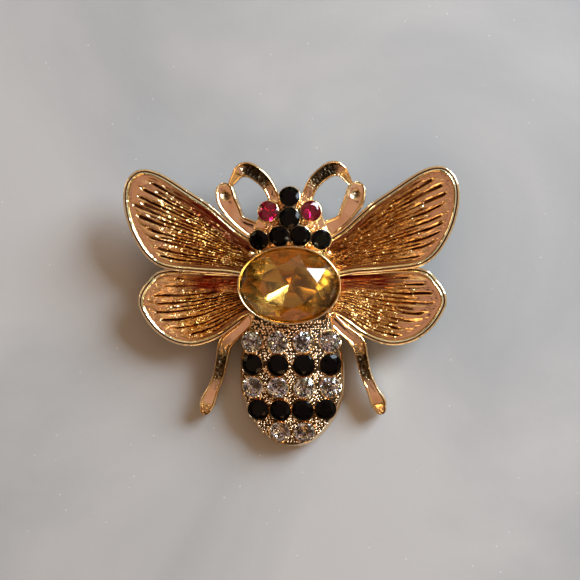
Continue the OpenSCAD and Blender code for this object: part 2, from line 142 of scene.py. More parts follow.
world = bpy.data.worlds.new("dim_room")
bpy.context.scene.world = world
world.use_nodes = True
tree = world.node_tree
tree.nodes.clear()
way = add(tree, "TexCoord").outputs["Generated"]
height = add(tree, "SeparateXYZ", {0: way}).outputs["Z"]
halves = []
for tones in (FAR_SIDE, WINDOW_SIDE):
    half = add(tree, "ValToRGB", {"Fac": height})
    stops = half.color_ramp.elements
    for where in ROOM_HEIGHTS[1:-1]:
        stops.new(where)
    for stop, tone in zip(stops, tones):
        stop.color = linear(tone)
    halves.append(half)
towards = add(tree, "VectorMath", {0: way, 1: WINDOW_WAY}, operation="DOT_PRODUCT")
side = add(tree, "MapRange", {
    0: towards.outputs["Value"], 1: -0.1, 2: 0.5}, interpolation_type="SMOOTHSTEP")
room = add(tree, "Mix", {0: side, 6: halves[0], 7: halves[1]}, data_type="RGBA")
# Dark and bright things in the room, which break up the gold's reflections.
things = add(tree, "TexNoise", {"Vector": way, "Scale": 3.2, "Detail": 1.5})
shade = add(tree, "MapRange", {0: things, 1: 0.42, 2: 0.58, 3: 0.3, 4: 1.5})
open_above = add(tree, "MapRange", {0: height, 1: 0.78, 2: 0.88})
strength = add(tree, "Mix", {0: open_above, 2: shade, 3: 1.0})
# A dark patch straight above, 11 degrees across, which facets show as dark spokes.
towards = add(tree, "VectorMath", {0: way, 1: PATCH_WAY}, operation="DOT_PRODUCT")
patch = add(tree, "MapRange", {0: towards.outputs["Value"], 1: 0.9935, 2: 0.996, 3: 1.0, 4: 0.04})
strength = add(tree, "Math", {0: strength, 1: patch}, operation="MULTIPLY")
sky = add(tree, "Background", {"Color": room.outputs[2], "Strength": strength})
add(tree, "OutputWorld", {"Surface": sky})
bpy.context.scene.view_settings.view_transform = "Standard"

camera_data = bpy.data.cameras.new("camera")
camera_data.lens, camera_data.sensor_width = LENS, SENSOR
camera = put_in_scene("camera", camera_data)
way = Vector((math.sin(CAMERA_RIGHT), -math.sin(CAMERA_LOW), 1)).normalized()
camera.location = LOOK_AT + way * CAMERA_FAR
right = Vector((0, 1, 0)).cross(way).normalized()
camera.rotation_euler = Matrix((right, way.cross(right), way)).transposed().to_euler()
bpy.context.scene.camera = camera

# The cup that holds the oval stone is cast with the rest: a neck that flares to a
# thin lip, which is pressed over the stone's girdle. Pieces are drawn in mm,
# flat, with the stone's middle at 0, 0, and REST then tips them onto the table.
TILT, FORWARD, LIFT = math.radians(7.749), 2.913, 2.985
MM = 0.001
REST = (
    Matrix.Diagonal((MM, MM, MM, 1))
    @ Matrix.Translation((0, FORWARD, LIFT))
    @ Matrix.Rotation(TILT, 4, "X")
)
OVAL_A, OVAL_B = 6.55, 4.9
GIRDLE_Z, GIRDLE_T = 6.1, 0.3
LIP_T, GAP = 0.3, 0.04
LIP_A, LIP_B = OVAL_A + GAP + LIP_T, OVAL_B + GAP + LIP_T


def face_outwards(mesh, weld=False):
    """Turns all faces outwards. Weld first joins points that lie on the same spot."""
    work = bmesh.new()
    work.from_mesh(mesh)
    if weld:
        bmesh.ops.remove_doubles(work, verts=work.verts, dist=0.0001)
    bmesh.ops.recalc_face_normals(work, faces=work.faces)
    work.to_mesh(mesh)
    work.free()


def smooth(piece, corner=40):
    """Shades a piece smooth but keeps its edges over corner degrees sharp."""
    piece.data.shade_smooth()
    piece.data.set_sharp_from_angle(angle=math.radians(corner))
    return piece


def new_mesh(name, points, faces=()):
    mesh = bpy.data.meshes.new(name)
    mesh.from_pydata([tuple(p) for p in points], [], [tuple(int(i) for i in f) for f in faces])
    return mesh


def finish_piece(name, points, faces, materials, corner=40, backs=None, attributes=None,
                 weld=False):
    """A closed mesh from points in mm, flat, tipped onto the table. Backs says which
    material each face has."""
    mesh = new_mesh(name, points, faces)
    for key, values in (attributes or {}).items():
        layer = mesh.attributes.new(key, "FLOAT", "POINT")
        layer.data.foreach_set("value", np.asarray(values, np.float32))
    for material in materials:
        mesh.materials.append(material)
    if backs is not None:
        mesh.polygons.foreach_set("material_index", backs)
    face_outwards(mesh, weld)
    mesh.transform(REST)
    return smooth(put_in_scene(name, mesh), corner)


def part_of_casting(piece):
    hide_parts("casting")
    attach(piece, "root")


def tube(rings):
    """Faces of a closed tube through rings of points, with a flat face at each end."""
    count, n = len(rings), len(rings[0])
    faces = [
        (i * n + j, i * n + (j + 1) % n, i * n + n + (j + 1) % n, i * n + n + j)
        for i in range(count - 1)
        for j in range(n)
    ]
    faces.append(tuple(range(n))[::-1])
    faces.append(tuple((count - 1) * n + j for j in range(n)))
    return np.concatenate(rings), faces


# Gold plating on cast alloy, tumbled bright: warm reflections that wander, because
# the cast skin has dents of 0.7 mm, with rosier and paler patches 2 to 3 mm wide.
# It is painted dark and dull in places: a dark antique finish in the straps' channels and pits,
# where tumbling doesn't reach, and painted shade on the metal between the stones of the abdomen and
# the head.
gold, tree = finish_tree("gold_plating")
place = add(tree, "TexCoord").outputs["Object"]
patches = add(tree, "TexNoise", {"Vector": place, "Scale": 420, "Detail": 3})
tint = add(tree, "ValToRGB", {"Fac": patches})
stops = tint.color_ramp.elements
stops[0].position, stops[0].color = 0.35, linear("E7C290")
stops[1].position, stops[1].color = 0.65, linear("F7DEB3")
dull = add(tree, "Attribute", attribute_name="antique_and_shade").outputs["Fac"]
tone = add(tree, "Mix", {0: dull, 6: tint, 7: linear("1A0E07")}, data_type="RGBA")
haze = add(tree, "MapRange", {0: patches, 1: 0.3, 2: 0.7, 3: 0.06, 4: 0.18})
rough = add(tree, "Mix", {0: dull, 2: haze, 3: 0.45})
skin = add(tree, "TexNoise", {"Vector": place, "Scale": 1500, "Detail": 3})
dents = add(tree, "Bump", {"Height": skin, "Strength": 0.6, "Distance": 0.00004})
shader = add(tree, "BsdfPrincipled", {
    "Base Color": tone.outputs[2], "Metallic": 1.0,
    "Roughness": rough, "Normal": dents})
add(tree, "OutputMaterial", {"Surface": shader})


def ellipse(a, b, z, count=128):
    turn = np.linspace(0, 2 * math.pi, count, endpoint=False)
    return np.stack([a * np.cos(turn), b * np.sin(turn), np.full(count, z)], 1)


# Columns: distance out from the lip's outer edge, height.
CUP_SIDE = [
    (-0.65, 0.0), (-0.68, 1.2), (-0.85, 2.6), (-0.95, 3.6), (-0.8, 4.3), (-0.42, 5.0),
    (-0.13, 5.6), (-0.02, 6.1), (0.0, 6.45), (-0.05, 6.62), (-0.14, 6.68), (-0.25, 6.62),
    (-0.31, 6.5), (-0.34, 6.4), (-0.34, 5.95),
]
# Columns: share of the stone's half sizes, height.
CUP_WELL = [(0.62, 4.4), (0.3, 3.4), (0.1, 2.9)]
rings = [ellipse(LIP_A + out, LIP_B + out, z) for out, z in CUP_SIDE]
rings += [ellipse(share * OVAL_A, share * OVAL_B, z) for share, z in CUP_WELL]
part_of_casting(finish_piece("stone_cup", *tube(rings), [gold]))

# The oval stone is pressed and polished amber glass with silver foil on its back,
# cut with eight kite facets, eight stars and sixteen narrow facets at the girdle.
CROWN_H, POINT_H = 1.85, 3.1
TABLE_SHARE, WAIST_SHARE, CULET_SHARE = 0.6, 0.88, 0.04
FACET_TURN = math.radians(8)


def cut_stone(table, crown, girdle, point, culet, turn=0.0, waist=0.82, lift=1.0):
    """Points and faces of a stone of radius 1 whose girdle runs from 0 up to girdle.
    The faces come with 1 where foil backs them and 0 where they are clear."""
    low_waist, middle = 0.5, math.cos(math.pi / 8)
    points, faces, backs = [], [], []

    def ring(count, share, z, start=0.0):
        first = len(points)
        for k in range(count):
            angle = (k + start) * 2 * math.pi / count + turn
            points.append((share * math.cos(angle), share * math.sin(angle), z))
        return list(range(first, first + count))

    slope = (crown - girdle) / (1 - table)
    tops = ring(8, table, crown)
    waists = ring(8, waist, girdle + (1 - waist * middle) * slope, 0.5)
    rim_top = ring(16, 1, girdle)
    rim_low = ring(16, 1, 0)
    low_slope = point / (1 - culet)
    lows = ring(8, low_waist, -(1 - low_waist * middle) * low_slope * lift, 0.5)
    tip = ring(8, culet, -point)
    faces.append(tops)
    for k in range(8):
        after = (k + 1) % 8
        faces.append([tops[k], waists[k], tops[after]])
        faces.append([tops[k], waists[k - 1], rim_top[2 * k], waists[k]])
        faces.append([waists[k], rim_top[2 * k], rim_top[2 * k + 1]])
        faces.append([waists[k], rim_top[2 * k + 1], rim_top[(2 * k + 2) % 16]])
    backs += [0] * len(faces)
    for k in range(16):
        faces.append([rim_top[k], rim_low[k], rim_low[(k + 1) % 16], rim_top[(k + 1) % 16]])
    for k in range(8):
        after = (k + 1) % 8
        faces.append([lows[k], rim_low[2 * k + 1], rim_low[2 * k]])
        faces.append([lows[k], rim_low[(2 * k + 2) % 16], rim_low[2 * k + 1]])
        faces.append([tip[k], lows[k], rim_low[2 * k], lows[k - 1]])
        faces.append([tip[k], tip[after], lows[k]])
    faces.append(tip[::-1])
    backs += [1] * (len(faces) - len(backs))
    return np.array(points), faces, backs


def cut_glass(name, scale, detail, wander, tones, ior):
    """Polished glass. Its tint wanders between two tones in a pattern of that scale."""
    glass, tree = finish_tree(name)
    place = add(tree, "TexCoord").outputs["Object"]
    streaks = add(tree, "TexNoise", {
        "Vector": place, "Scale": scale, "Detail": detail, "Distortion": wander})
    tint = add(tree, "Mix", {
        0: streaks, 6: linear(tones[0]), 7: linear(tones[1])}, data_type="RGBA")
    shader = add(tree, "BsdfPrincipled", {
        "Base Color": tint.outputs[2], "Roughness": 0.0, "IOR": ior,
        "Transmission Weight": 1.0})
    add(tree, "OutputMaterial", {"Surface": shader})
    return glass


# Amber glass: clear and hard, so facets show sharp. The tint deepens on each pass
# and wanders a little over 5 to 8 mm, as poured glass does.
amber = cut_glass("amber_glass", 130, 2, 1.0, ("FCDA81", "FCE7A2"), 1.54)
# Silver foil seen through amber glass: a bright, soft mirror with faint patches
# 2 mm wide.
amber_foil, tree = finish_tree("silver_foil_behind_amber")
place = add(tree, "TexCoord").outputs["Object"]
patches = add(tree, "TexNoise", {"Vector": place, "Scale": 500, "Detail": 2})
tint = add(tree, "ValToRGB", {"Fac": patches})
for stop, code in zip(tint.color_ramp.elements, ("D9B77A", "E6CD96")):
    stop.color = linear(code)
shader = add(tree, "BsdfPrincipled", {"Base Color": tint, "Metallic": 1.0, "Roughness": 0.15})
add(tree, "OutputMaterial", {"Surface": shader})

points, faces, backs = cut_stone(
    TABLE_SHARE, GIRDLE_T + CROWN_H, GIRDLE_T, POINT_H, CULET_SHARE, FACET_TURN, WAIST_SHARE)
points = points * (OVAL_A, OVAL_B, 1) + (0, 0, GIRDLE_Z)
oval = finish_piece("amber_stone", points, faces, [amber, amber_foil], 1, backs)
oval.data.shade_flat()
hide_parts("oval_stone")
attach(oval, "root")

# The wings are part of the casting: thin plates with a stepped rim and a fan of
# ridges that were cut by hand in the mould. Amber lacquer was brushed over the
# inner two thirds; it pools dark in the grooves and leaves the tips bare.
WING_T, WING_FOOT = 0.9, 0.04
WING_SLOPE = math.radians(2)
FLOOR_INSET = 0.7
EDGE_STEPS = 24
# Grooves: width at the root and what it gains by the tip, greatest depth, and how
# far from the tip's edge the long and the short ones end, least and most.
GROOVE_W, GROOVE_GAIN, GROOVE_DEPTH = 0.06, 0.13, 0.34
LONG_END, SHORT_END = (1.3, 2.4), (2.3, 5.5)
# The floor is smooth this near to the edge and rough from there on.
SMOOTH_EDGE, ROUGH_FROM = 0.95, 1.25
# Small craters that the lacquer left: radius, least and most, and height.
CRATER_R, CRATER_H = (0.1, 0.24), 0.065
DISH = 0.1
# Columns: out, share of the wing's reach; along, share of its chord.
FOREWING_EDGE = [
    (0.19, 0.285), (0.317, 0.447), (0.466, 0.650), (0.602, 0.793), (0.768, 0.956),
    (0.884, 1.0), (0.962, 0.932), (0.998, 0.79), (0.991, 0.592), (0.946, 0.380),
    (0.866, 0.188), (0.763, 0.083), (0.60, 0.045), (0.40, 0.022), (0.19, 0.0),
]
HINDWING_EDGE = [
    (0.22, 0.90), (0.56, 0.99), (0.84, 0.99), (0.951, 0.817), (1.0, 0.62),
    (0.984, 0.445), (0.900, 0.205), (0.775, 0.040), (0.628, 0.0), (0.471, 0.106),
    (0.315, 0.324), (0.20, 0.45),
]
# Cross-section of the rim. Columns: distance in from the edge, height, how much
# painted shade darkens it, in its groove and on its inner wall. Above the height given next, the
# rim has a painted highlight, paler metal, and it is a bit wavy.
RIM_SECTION = [
    (0.0, 0.0, 0), (0.0, 0.88, 0), (0.05, 1.02, 0), (0.14, 1.1, 0), (0.24, 1.1, 0),
    (0.31, 1.02, 0.8), (0.35, 0.96, 0.8), (0.40, 1.04, 0.8), (0.46, 1.28, 0),
    (0.53, 1.44, 0), (0.61, 1.5, 0), (0.70, 1.46, 0), (0.78, 1.3, 0),
    (0.84, 1.06, 0.6), (0.9, 0.8, 0.6), (0.9, 0.0, 0.6),
]
PALE_ABOVE, RIM_WAVE = 0.9, 0.03


def eased(rows, steps, closed):
    """Points through the rows of a table on a smooth curve."""
    rows = np.array(rows, float)
    n = len(rows)
    found = []
    for i in range(n if closed else n - 1):
        spots = [(i + k) % n if closed else min(max(i + k, 0), n - 1) for k in (-1, 0, 1, 2)]
        a, b, c, d = rows[spots]
        for s in range(steps):
            t = s / steps
            bend = (2 * a - 5 * b + 4 * c - d) * t * t + (3 * b - a - 3 * c + d) * t ** 3
            found.append(0.5 * (2 * b + (c - a) * t + bend))
    if not closed:
        found.append(rows[-1])
    return np.array(found)


def inset(loop, distance):
    run = np.roll(loop, -1, 0) - np.roll(loop, 1, 0)
    run /= np.linalg.norm(run, axis=1)[:, None]
    return loop + distance * np.stack([run[:, 1], -run[:, 0]], 1)


def evenly(line, count):
    """The same line with its points a steady distance apart."""
    far = np.concatenate([[0], np.cumsum(np.linalg.norm(np.diff(line, axis=0), axis=1))])
    at = np.linspace(0, far[-1], count)
    return np.stack([np.interp(at, far, line[:, k]) for k in range(line.shape[1])], 1)


def drift(random, across, along, u, v):
    """Smooth random values from -1 to 1 over a grid of across by along cells."""
    values = random.uniform(-1, 1, (across + 2, along + 2))
    x, y = np.clip(u, 0, 1) * across, np.clip(v, 0, 1) * along
    i, j = np.minimum(x.astype(int), across), np.minimum(y.astype(int), along)
    s, t = x - i, y - j
    s, t = s * s * (3 - 2 * s), t * t * (3 - 2 * t)
    here = values[i, j] * (1 - t) + values[i, j + 1] * t
    beyond = values[i + 1, j] * (1 - t) + values[i + 1, j + 1] * t
    return here * (1 - s) + beyond * s


def rise(x, low, high):
    """0 below low, 1 above high, and smooth between."""
    t = np.clip((x - low) / (high - low), 0, 1)
    return t * t * (3 - 2 * t)


def far_from(line, spots):
    """How far each of a grid of spots lies from the points of a line."""
    tree = KDTree(len(line))
    for i, p in enumerate(line):
        tree.insert((p[0], p[1], 0), i)
    tree.balance()
    far = [tree.find((x, y, 0))[2] for x, y in spots.reshape(-1, 2)]
    return np.array(far).reshape(spots.shape[:2])


def wing_floor(loop, corners, lines, red_band, texture, seed, size):
    """The cut floor of a wing. Returns its grid of points, their heights, how much
    lacquer lies on each point, and how much each point is darkened, by lacquer that
    pools there and by painted shade. Corners are the rows of the edge's table at the
    tip, the rear and the root. Texture is how high the ripples stand at the tip and
    near the root, how many small craters there are, and how deep the grooves are near
    the root, as a share of the tip's; where that share is under 1, painted shade also
    darkens all the lacquer."""
    tip_ripple, root_ripple, craters, root_cut_and_shade = texture
    random = np.random.default_rng(seed)
    nu, nv = size
    inner = inset(loop, FLOOR_INSET)
    tip, rear, root = (c * EDGE_STEPS for c in corners)
    front_line = evenly(inner[:tip + 1], nv)
    outer_line = evenly(inner[tip:rear + 1], nu)
    rear_line = evenly(inner[rear:root + 1], nv)[::-1]
    root_line = evenly(np.array([inner[0], inner[root]]), nu)
    u = np.linspace(0, 1, nu)[:, None]
    v = np.linspace(0, 1, nv)[None, :]
    grid = (
        (1 - u)[..., None] * front_line[None] + u[..., None] * rear_line[None]
        + (1 - v)[..., None] * root_line[:, None] + v[..., None] * outer_line[:, None]
        - ((1 - u) * (1 - v))[..., None] * inner[0] - (u * (1 - v))[..., None] * inner[root]
        - ((1 - u) * v)[..., None] * inner[tip] - (u * v)[..., None] * inner[rear]
    )
    u, v = np.broadcast_arrays(u, v)
    to_edge = far_from(loop, grid)
    to_front = far_from(evenly(loop[:tip + 1], 400), grid)
    to_outer = far_from(evenly(loop[tip:rear + 1], 400), grid)

    def wave(across, along):
        return drift(random, across, along, u, v)

    # Grooves: every second one runs out to the tip, the others stop half way.
    widths = random.uniform(0.75, 1.25, lines)
    starts = np.concatenate([[0], np.cumsum(widths)]) / widths.sum()
    wander = (0.14 * wave(5, 5) + 0.12 * wave(2 * lines, 9)) / lines
    wander = wander * np.minimum(1, 8 * u) * np.minimum(1, 8 * (1 - u))
    across = np.interp(u + wander, starts, np.arange(lines + 1))
    share = across - np.minimum(across.astype(int), lines - 1)
    pitch = np.linalg.norm(np.gradient(grid, axis=0), axis=2) * (nu - 1) / lines
    to_groove = np.minimum(share, 1 - share) * pitch
    groove_w = (GROOVE_W + GROOVE_GAIN * v ** 2) * (1 + 0.35 * wave(3 * lines, 12))
    groove = np.exp(-(to_groove / groove_w) ** 2)
    long_ends = random.uniform(*LONG_END, lines + 2)
    short_ends = random.uniform(*SHORT_END, lines + 2)
    ends = np.where(np.arange(lines + 2) % 2 == 0, long_ends, short_ends)
    end = ends[np.rint(across).astype(int)]
    cut = rise(to_outer, end - 0.15, end + 0.3 + 0.2 * (end - LONG_END[0]))
    in_front = 1 - rise(to_front, red_band - 0.2, red_band + 0.2)
    clear = 1 - 0.7 * in_front * (1 - rise(v, 0.6, 0.8))
    clear = rise(to_edge, SMOOTH_EDGE, ROUGH_FROM) * clear
    depth = (0.55 + 0.4 * (1 - rise(v, 0.1, 0.35))) * pitch
    depth = np.minimum(GROOVE_DEPTH, depth) * np.clip(0.75 + 0.7 * wave(2 * lines, 15), 0.15, 1.3)
    near_root = 1 - rise(v, 0.5, 0.85)
    root_depth = 1 - (1 - root_cut_and_shade) * near_root
    depth *= root_depth

    # Ridges swell between the grooves, with fine ripples and craters on them.
    crest = np.abs(np.sin(math.pi * across / 2)) ** 0.8
    swell = (0.06 + 0.12 * v) * crest * rise(to_outer, 1.2, 2.2) * (1 + 0.6 * wave(lines, 12))
    ripples = wave(6 * lines, 16) + 0.7 * wave(11 * lines, 30)
    ripples = ripples * (tip_ripple + root_ripple * near_root)
    height = WING_T + 0.06 + clear * (swell - groove * cut * depth + ripples)
    rings = np.zeros((nu, nv))
    for _ in range(craters):
        spot = grid[int(random.uniform(0.1, 0.94) * nu), int(random.uniform(0.1, 0.78) * nv)]
        away = np.linalg.norm(grid - spot, axis=2) / random.uniform(*CRATER_R)
        rings += np.exp(-(away - 0.9) ** 2 * 6) * (away < 2.2)
    height += CRATER_H * rings * clear
    height -= DISH * np.sin(math.pi * u) * np.sin(math.pi * np.clip(v, 0, 1))

    # Darkening: lacquer pools in the grooves, along the front edge and beside the rim, and painted
    # shade adds to it: in the bare grooves at the tips, in the band along the front edge, and over
    # all the lacquer when the root is cut shallower.
    lacquer = 1 - rise(v + 0.1 * wave(7, 4), 0.58, 0.84)
    darkening = groove * cut * clear * 0.9 * root_depth
    # Painted shade: when the root's grooves are cut shallower, all the lacquer is darkened too.
    darkening = np.maximum(darkening, 1.1 * (1 - root_cut_and_shade) * lacquer)
    # The band along the front edge: pooled lacquer with painted shade.
    band = 1 - rise(to_front + 0.35 * wave(6, 14), red_band - 0.5, red_band + 0.3)
    band = band * (1 - rise(v, 0.55, 0.8))
    streaks = 0.9 + 0.3 * wave(4 * lines, 10)
    darkening = np.maximum(darkening, np.sqrt(band) * np.clip(streaks, 0.7, 1))
    darkening = np.maximum(darkening, 0.7 * (1 - rise(to_edge, 0.95, 1.3)) * lacquer)
    darkening = np.maximum(darkening, 0.8 * np.clip(wave(11, 8) - 0.2, 0, 1) * lacquer)
    return grid, height, lacquer, darkening


def wing(name, side, table, reach, chord, rear_y, base_z, seed, duck=0, **floor):
    """A wing. Duck is how far its front edge passes under the wing before it."""
    loop = eased(table, EDGE_STEPS, True) * (reach, chord) + (0, rear_y)
    grid, height, lacquer, darkening = wing_floor(loop, seed=seed, **floor)
    nu, nv = height.shape
    top = np.concatenate([grid.reshape(-1, 2), height.reshape(-1, 1)], 1)
    index = np.arange(nu * nv).reshape(nu, nv)
    faces = [
        (index[i, j], index[i + 1, j], index[i + 1, j + 1], index[i, j + 1])
        for i in range(nu - 1)
        for j in range(nv - 1)
    ]
    border = [*index[:, 0], *index[-1, 1:], *index[-2::-1, -1], *index[0, -2:0:-1]]
    foot = top[border].copy()
    foot[:, 2] = WING_FOOT
    low = nu * nv + np.arange(len(border))
    after = np.roll(np.arange(len(border)), -1)
    faces += [(border[i], low[i], low[after[i]], border[after[i]]) for i in range(len(border))]
    faces.append(tuple(low))
    count = len(top) + len(foot)
    n = len(loop)
    dents = np.random.default_rng(seed + 100).uniform(-RIM_WAVE, RIM_WAVE, n // 3)
    wavy = np.interp(np.arange(n), np.linspace(0, n, n // 3 + 1), np.append(dents, dents[0]))
    rim = [np.column_stack([inset(loop, d), z + wavy * (z > PALE_ABOVE)]) for d, z, _ in RIM_SECTION]
    faces += [
        (count + i * n + j, count + (i + 1) % len(rim) * n + j,
         count + (i + 1) % len(rim) * n + (j + 1) % n, count + i * n + (j + 1) % n)
        for i in range(len(rim))
        for j in range(n)
    ]
    points = np.concatenate([top, foot] + rim)
    if duck:
        points[:, 2] -= duck * rise(points[:, 1], 0.2, 1.4) * rise(points[:, 2], 0.3, 0.8)
    lifted = points.copy()
    level, slope = math.cos(WING_SLOPE), math.sin(WING_SLOPE)
    lifted[:, 0] = side * (points[:, 0] * level - points[:, 2] * slope)
    lifted[:, 2] = points[:, 0] * slope + points[:, 2] * level + base_z
    # Painted shade in the rim's groove and on its inner wall, and a painted highlight on its top.
    rim_shade = np.repeat([share for _, _, share in RIM_SECTION], n)
    rim_painted_pale = np.repeat([float(z > PALE_ABOVE) for _, z, _ in RIM_SECTION], n)
    part_of_casting(finish_piece(name, lifted, faces, [lacquered], 50, attributes={
        "lacquer": np.concatenate([lacquer.ravel(), np.zeros(len(points) - len(top))]),
        "darkening": np.concatenate([darkening.ravel(), np.zeros(len(foot)), rim_shade]),
        "painted_pale": np.concatenate([np.zeros(count), rim_painted_pale]),
    }))


# Amber lacquer over bright plating: glossy and orange where it is thin, red-brown
# where it pools, rosy bare metal at the tips and a painted highlight, paler metal,
# on the rims' tops. Painted shade darkens it too: dark brown in the bare grooves and
# in the rims' grooves, red-brown along the front edges and over the right wings. Its
# patches are 2.6 mm wide and its skin is grained every 0.4 mm.
lacquered, tree = finish_tree("amber_lacquer_over_gold")
place = add(tree, "TexCoord").outputs["Object"]
coated = add(tree, "Attribute", attribute_name="lacquer").outputs["Fac"]
darkened = add(tree, "Attribute", attribute_name="darkening").outputs["Fac"]
patches = add(tree, "TexNoise", {"Vector": place, "Scale": 380, "Detail": 4})
bare = add(tree, "Mix", {0: patches, 6: linear("D9B384"), 7: linear("EED0A5")}, data_type="RGBA")
thin = add(tree, "Mix", {0: patches, 6: linear("C79350"), 7: linear("F1D68B")}, data_type="RGBA")
# Painted highlight: the rims' tops are painted paler.
pale_share = add(tree, "Attribute", attribute_name="painted_pale").outputs["Fac"]
pale = add(tree, "Mix", {0: pale_share, 6: bare.outputs[2], 7: linear("F9EFCB")}, data_type="RGBA")
over = add(tree, "Mix", {0: coated, 6: pale.outputs[2], 7: thin.outputs[2]}, data_type="RGBA")
# Darkened tones: dark brown on bare metal, which is painted shade, and red-brown under the lacquer,
# which is pooled lacquer with painted shade.
deep = add(tree, "Mix", {0: coated, 6: linear("5D3C29"), 7: linear("6C190D")}, data_type="RGBA")
colour = add(tree, "Mix", {0: darkened, 6: over.outputs[2], 7: deep.outputs[2]}, data_type="RGBA")
skin = add(tree, "TexNoise", {"Vector": place, "Scale": 2600, "Detail": 3})
dents = add(tree, "Bump", {"Height": skin, "Strength": 0.5, "Distance": 0.00001})
haze = add(tree, "MapRange", {0: patches, 1: 0.3, 2: 0.7, 3: 0.08, 4: 0.17})
gloss = add(tree, "Math", {0: 1.0, 1: darkened}, operation="SUBTRACT")
gloss = add(tree, "Math", {0: gloss, 1: coated}, operation="MULTIPLY")
shader = add(tree, "BsdfPrincipled", {
    "Base Color": colour.outputs[2], "Metallic": 1.0, "Roughness": haze,
    "Coat Weight": gloss, "Coat Roughness": 0.04, "Normal": dents})
add(tree, "OutputMaterial", {"Surface": shader})

# Red band: the dark band along each front edge, pooled lacquer with painted shade. It is wider on
# the left forewing, which lies in shade, and widest on the hindwings, in the shade under the
# forewings' rims. The right wings' shallower root cut also paints shade over all their lacquer.
for side, word, root_ripple, craters, root_cut_and_shade in (
    (1, "right", 0.06, 120, 0.65), (-1, "left", 0.09, 280, 1.0),
):
    wing(
        f"forewing_{word}", side, FOREWING_EDGE, reach=22.75, chord=14.7, rear_y=1.0,
        base_z=1.0, seed=11 + side, corners=(5, 10, 14), lines=20, size=(340, 240),
        red_band=1.65 - 0.5 * side, texture=(0.02, root_ripple, craters, root_cut_and_shade))
    wing(
        f"hindwing_{word}", side, HINDWING_EDGE, reach=20.95, chord=10.5, rear_y=-8.4,
        base_z=0.5, seed=31 + side, duck=0.45, corners=(2, 7, 11), lines=18, size=(280, 220),
        red_band=2.9, texture=(0.03 - 0.02 * side, root_ripple - 0.02, craters, root_cut_and_shade))

# The abdomen is the thick part of the casting: a low dome with an upright side
# wall, eighteen drilled seats, and a hollow under it that saves metal.
STONE_D, SEAT_GAP = 2.8, 0.03
BAND_W, ROW_SPACE, COLUMN_SPACE = 1.1, 0.25, 0.7
TAIL_W, SIDE_W, EDGE_DROP = 0.8, 0.5, 0.16
ROW_Y = LIP_B + BAND_W + STONE_D / 2
ROW_PITCH = STONE_D + ROW_SPACE
ABDOMEN_L = ROW_Y + 4 * ROW_PITCH + STONE_D / 2 + TAIL_W
ABDOMEN_W = 2 * STONE_D + 1.5 * COLUMN_SPACE + SIDE_W
ABDOMEN_H, SIDE_H = 4.6, 2.6
DOME_Y = -0.42 * ABDOMEN_L
DOME_ACROSS = (ABDOMEN_H - SIDE_H) / ABDOMEN_W ** 2
DOME_ALONG = (ABDOMEN_H - SIDE_H) / (ABDOMEN_L + DOME_Y) ** 2
# Columns: out, share of ABDOMEN_W; along, share of ABDOMEN_L.
ABDOMEN_EDGE = [
    (0.78, 0.10), (0.80, 0.22), (0.90, 0.36), (0.985, 0.455), (1.00, 0.59),
    (0.98, 0.685), (0.93, 0.735), (0.85, 0.80), (0.745, 0.856), (0.615, 0.91),
    (0.455, 0.955), (0.30, 0.985), (0.15, 0.999), (0.07, 1.002), (0.0, 1.003),
]
# Columns: how many stones, space between them as a share of COLUMN_SPACE, colour.
STONE_ROWS = [
    (4, 1, "clear"), (4, 1, "black"), (4, 1, "clear"), (4, 0.286, "black"), (2, 0.8, "clear")]


def abdomen_top(x, y):
    return ABDOMEN_H - DOME_ACROSS * x * x - DOME_ALONG * (y - DOME_Y) ** 2


def abdomen_facing(x, y):
    """Where a stone faces. Across, it leans just over half as much as the dome."""
    return Vector((1.1 * DOME_ACROSS * x, 2 * DOME_ALONG * (y - DOME_Y), 1)).normalized()


abdomen_stones = []
for row, (count, space, kind) in enumerate(STONE_ROWS):
    y = -ROW_Y - row * ROW_PITCH
    for k in range(count):
        x = (k - (count - 1) / 2) * (STONE_D + space * COLUMN_SPACE)
        name = f"{kind}_stone_{row + 1}_{k + 1}"
        abdomen_stones.append((name, (x, y, abdomen_top(x, y)), abdomen_facing(x, y)))

rings = []
for out, along in eased(ABDOMEN_EDGE, 5, False):
    w, y = out * ABDOMEN_W, -along * ABDOMEN_L
    top_w, top_y = max(w - 0.25, 0.5 * w), 0.98 * y
    side_top = abdomen_top(top_w, top_y) - EDGE_DROP
    side = [
        (max(w - 0.15, 0.8 * w), y, 0.0), (w, y, 0.15), (w, y, side_top - 1.1),
        (0.4 * w + 0.6 * top_w, 0.992 * y, side_top - 0.45)]
    top = []
    for t in np.linspace(1, -1, 45):
        drop = EDGE_DROP * max(0, abs(t) - 0.93) / 0.07
        top.append((t * top_w, top_y, abdomen_top(t * top_w, top_y) - drop))
    rings.append(np.array(side + top + [(-x, side_y, z) for x, side_y, z in side[::-1]]))
# The tail's end has no width, so its face is left out and its points are joined.
points, faces = tube(rings)
# Painted shade: the dome's top, round the stones and under the grains, is painted nearly black and
# dull, where the gaps between the stones lie in shade.
ground = [0.95 if z > 2 and abs(z - abdomen_top(x, y)) < 0.1 else 0 for x, y, z in points]
abdomen = finish_piece(
    "abdomen", points, faces[:-1], [gold], 50, attributes={"antique_and_shade": ground}, weld=True)


def stand(place, facing):
    """Turns what points up to the given direction and moves it to its place."""
    return Matrix.Translation(place) @ facing.to_track_quat("Z", "Y").to_matrix().to_4x4()


def apply_modifiers(piece):
    made = piece.evaluated_get(bpy.context.evaluated_depsgraph_get())
    piece.data = bpy.data.meshes.new_from_object(made)
    piece.modifiers.clear()


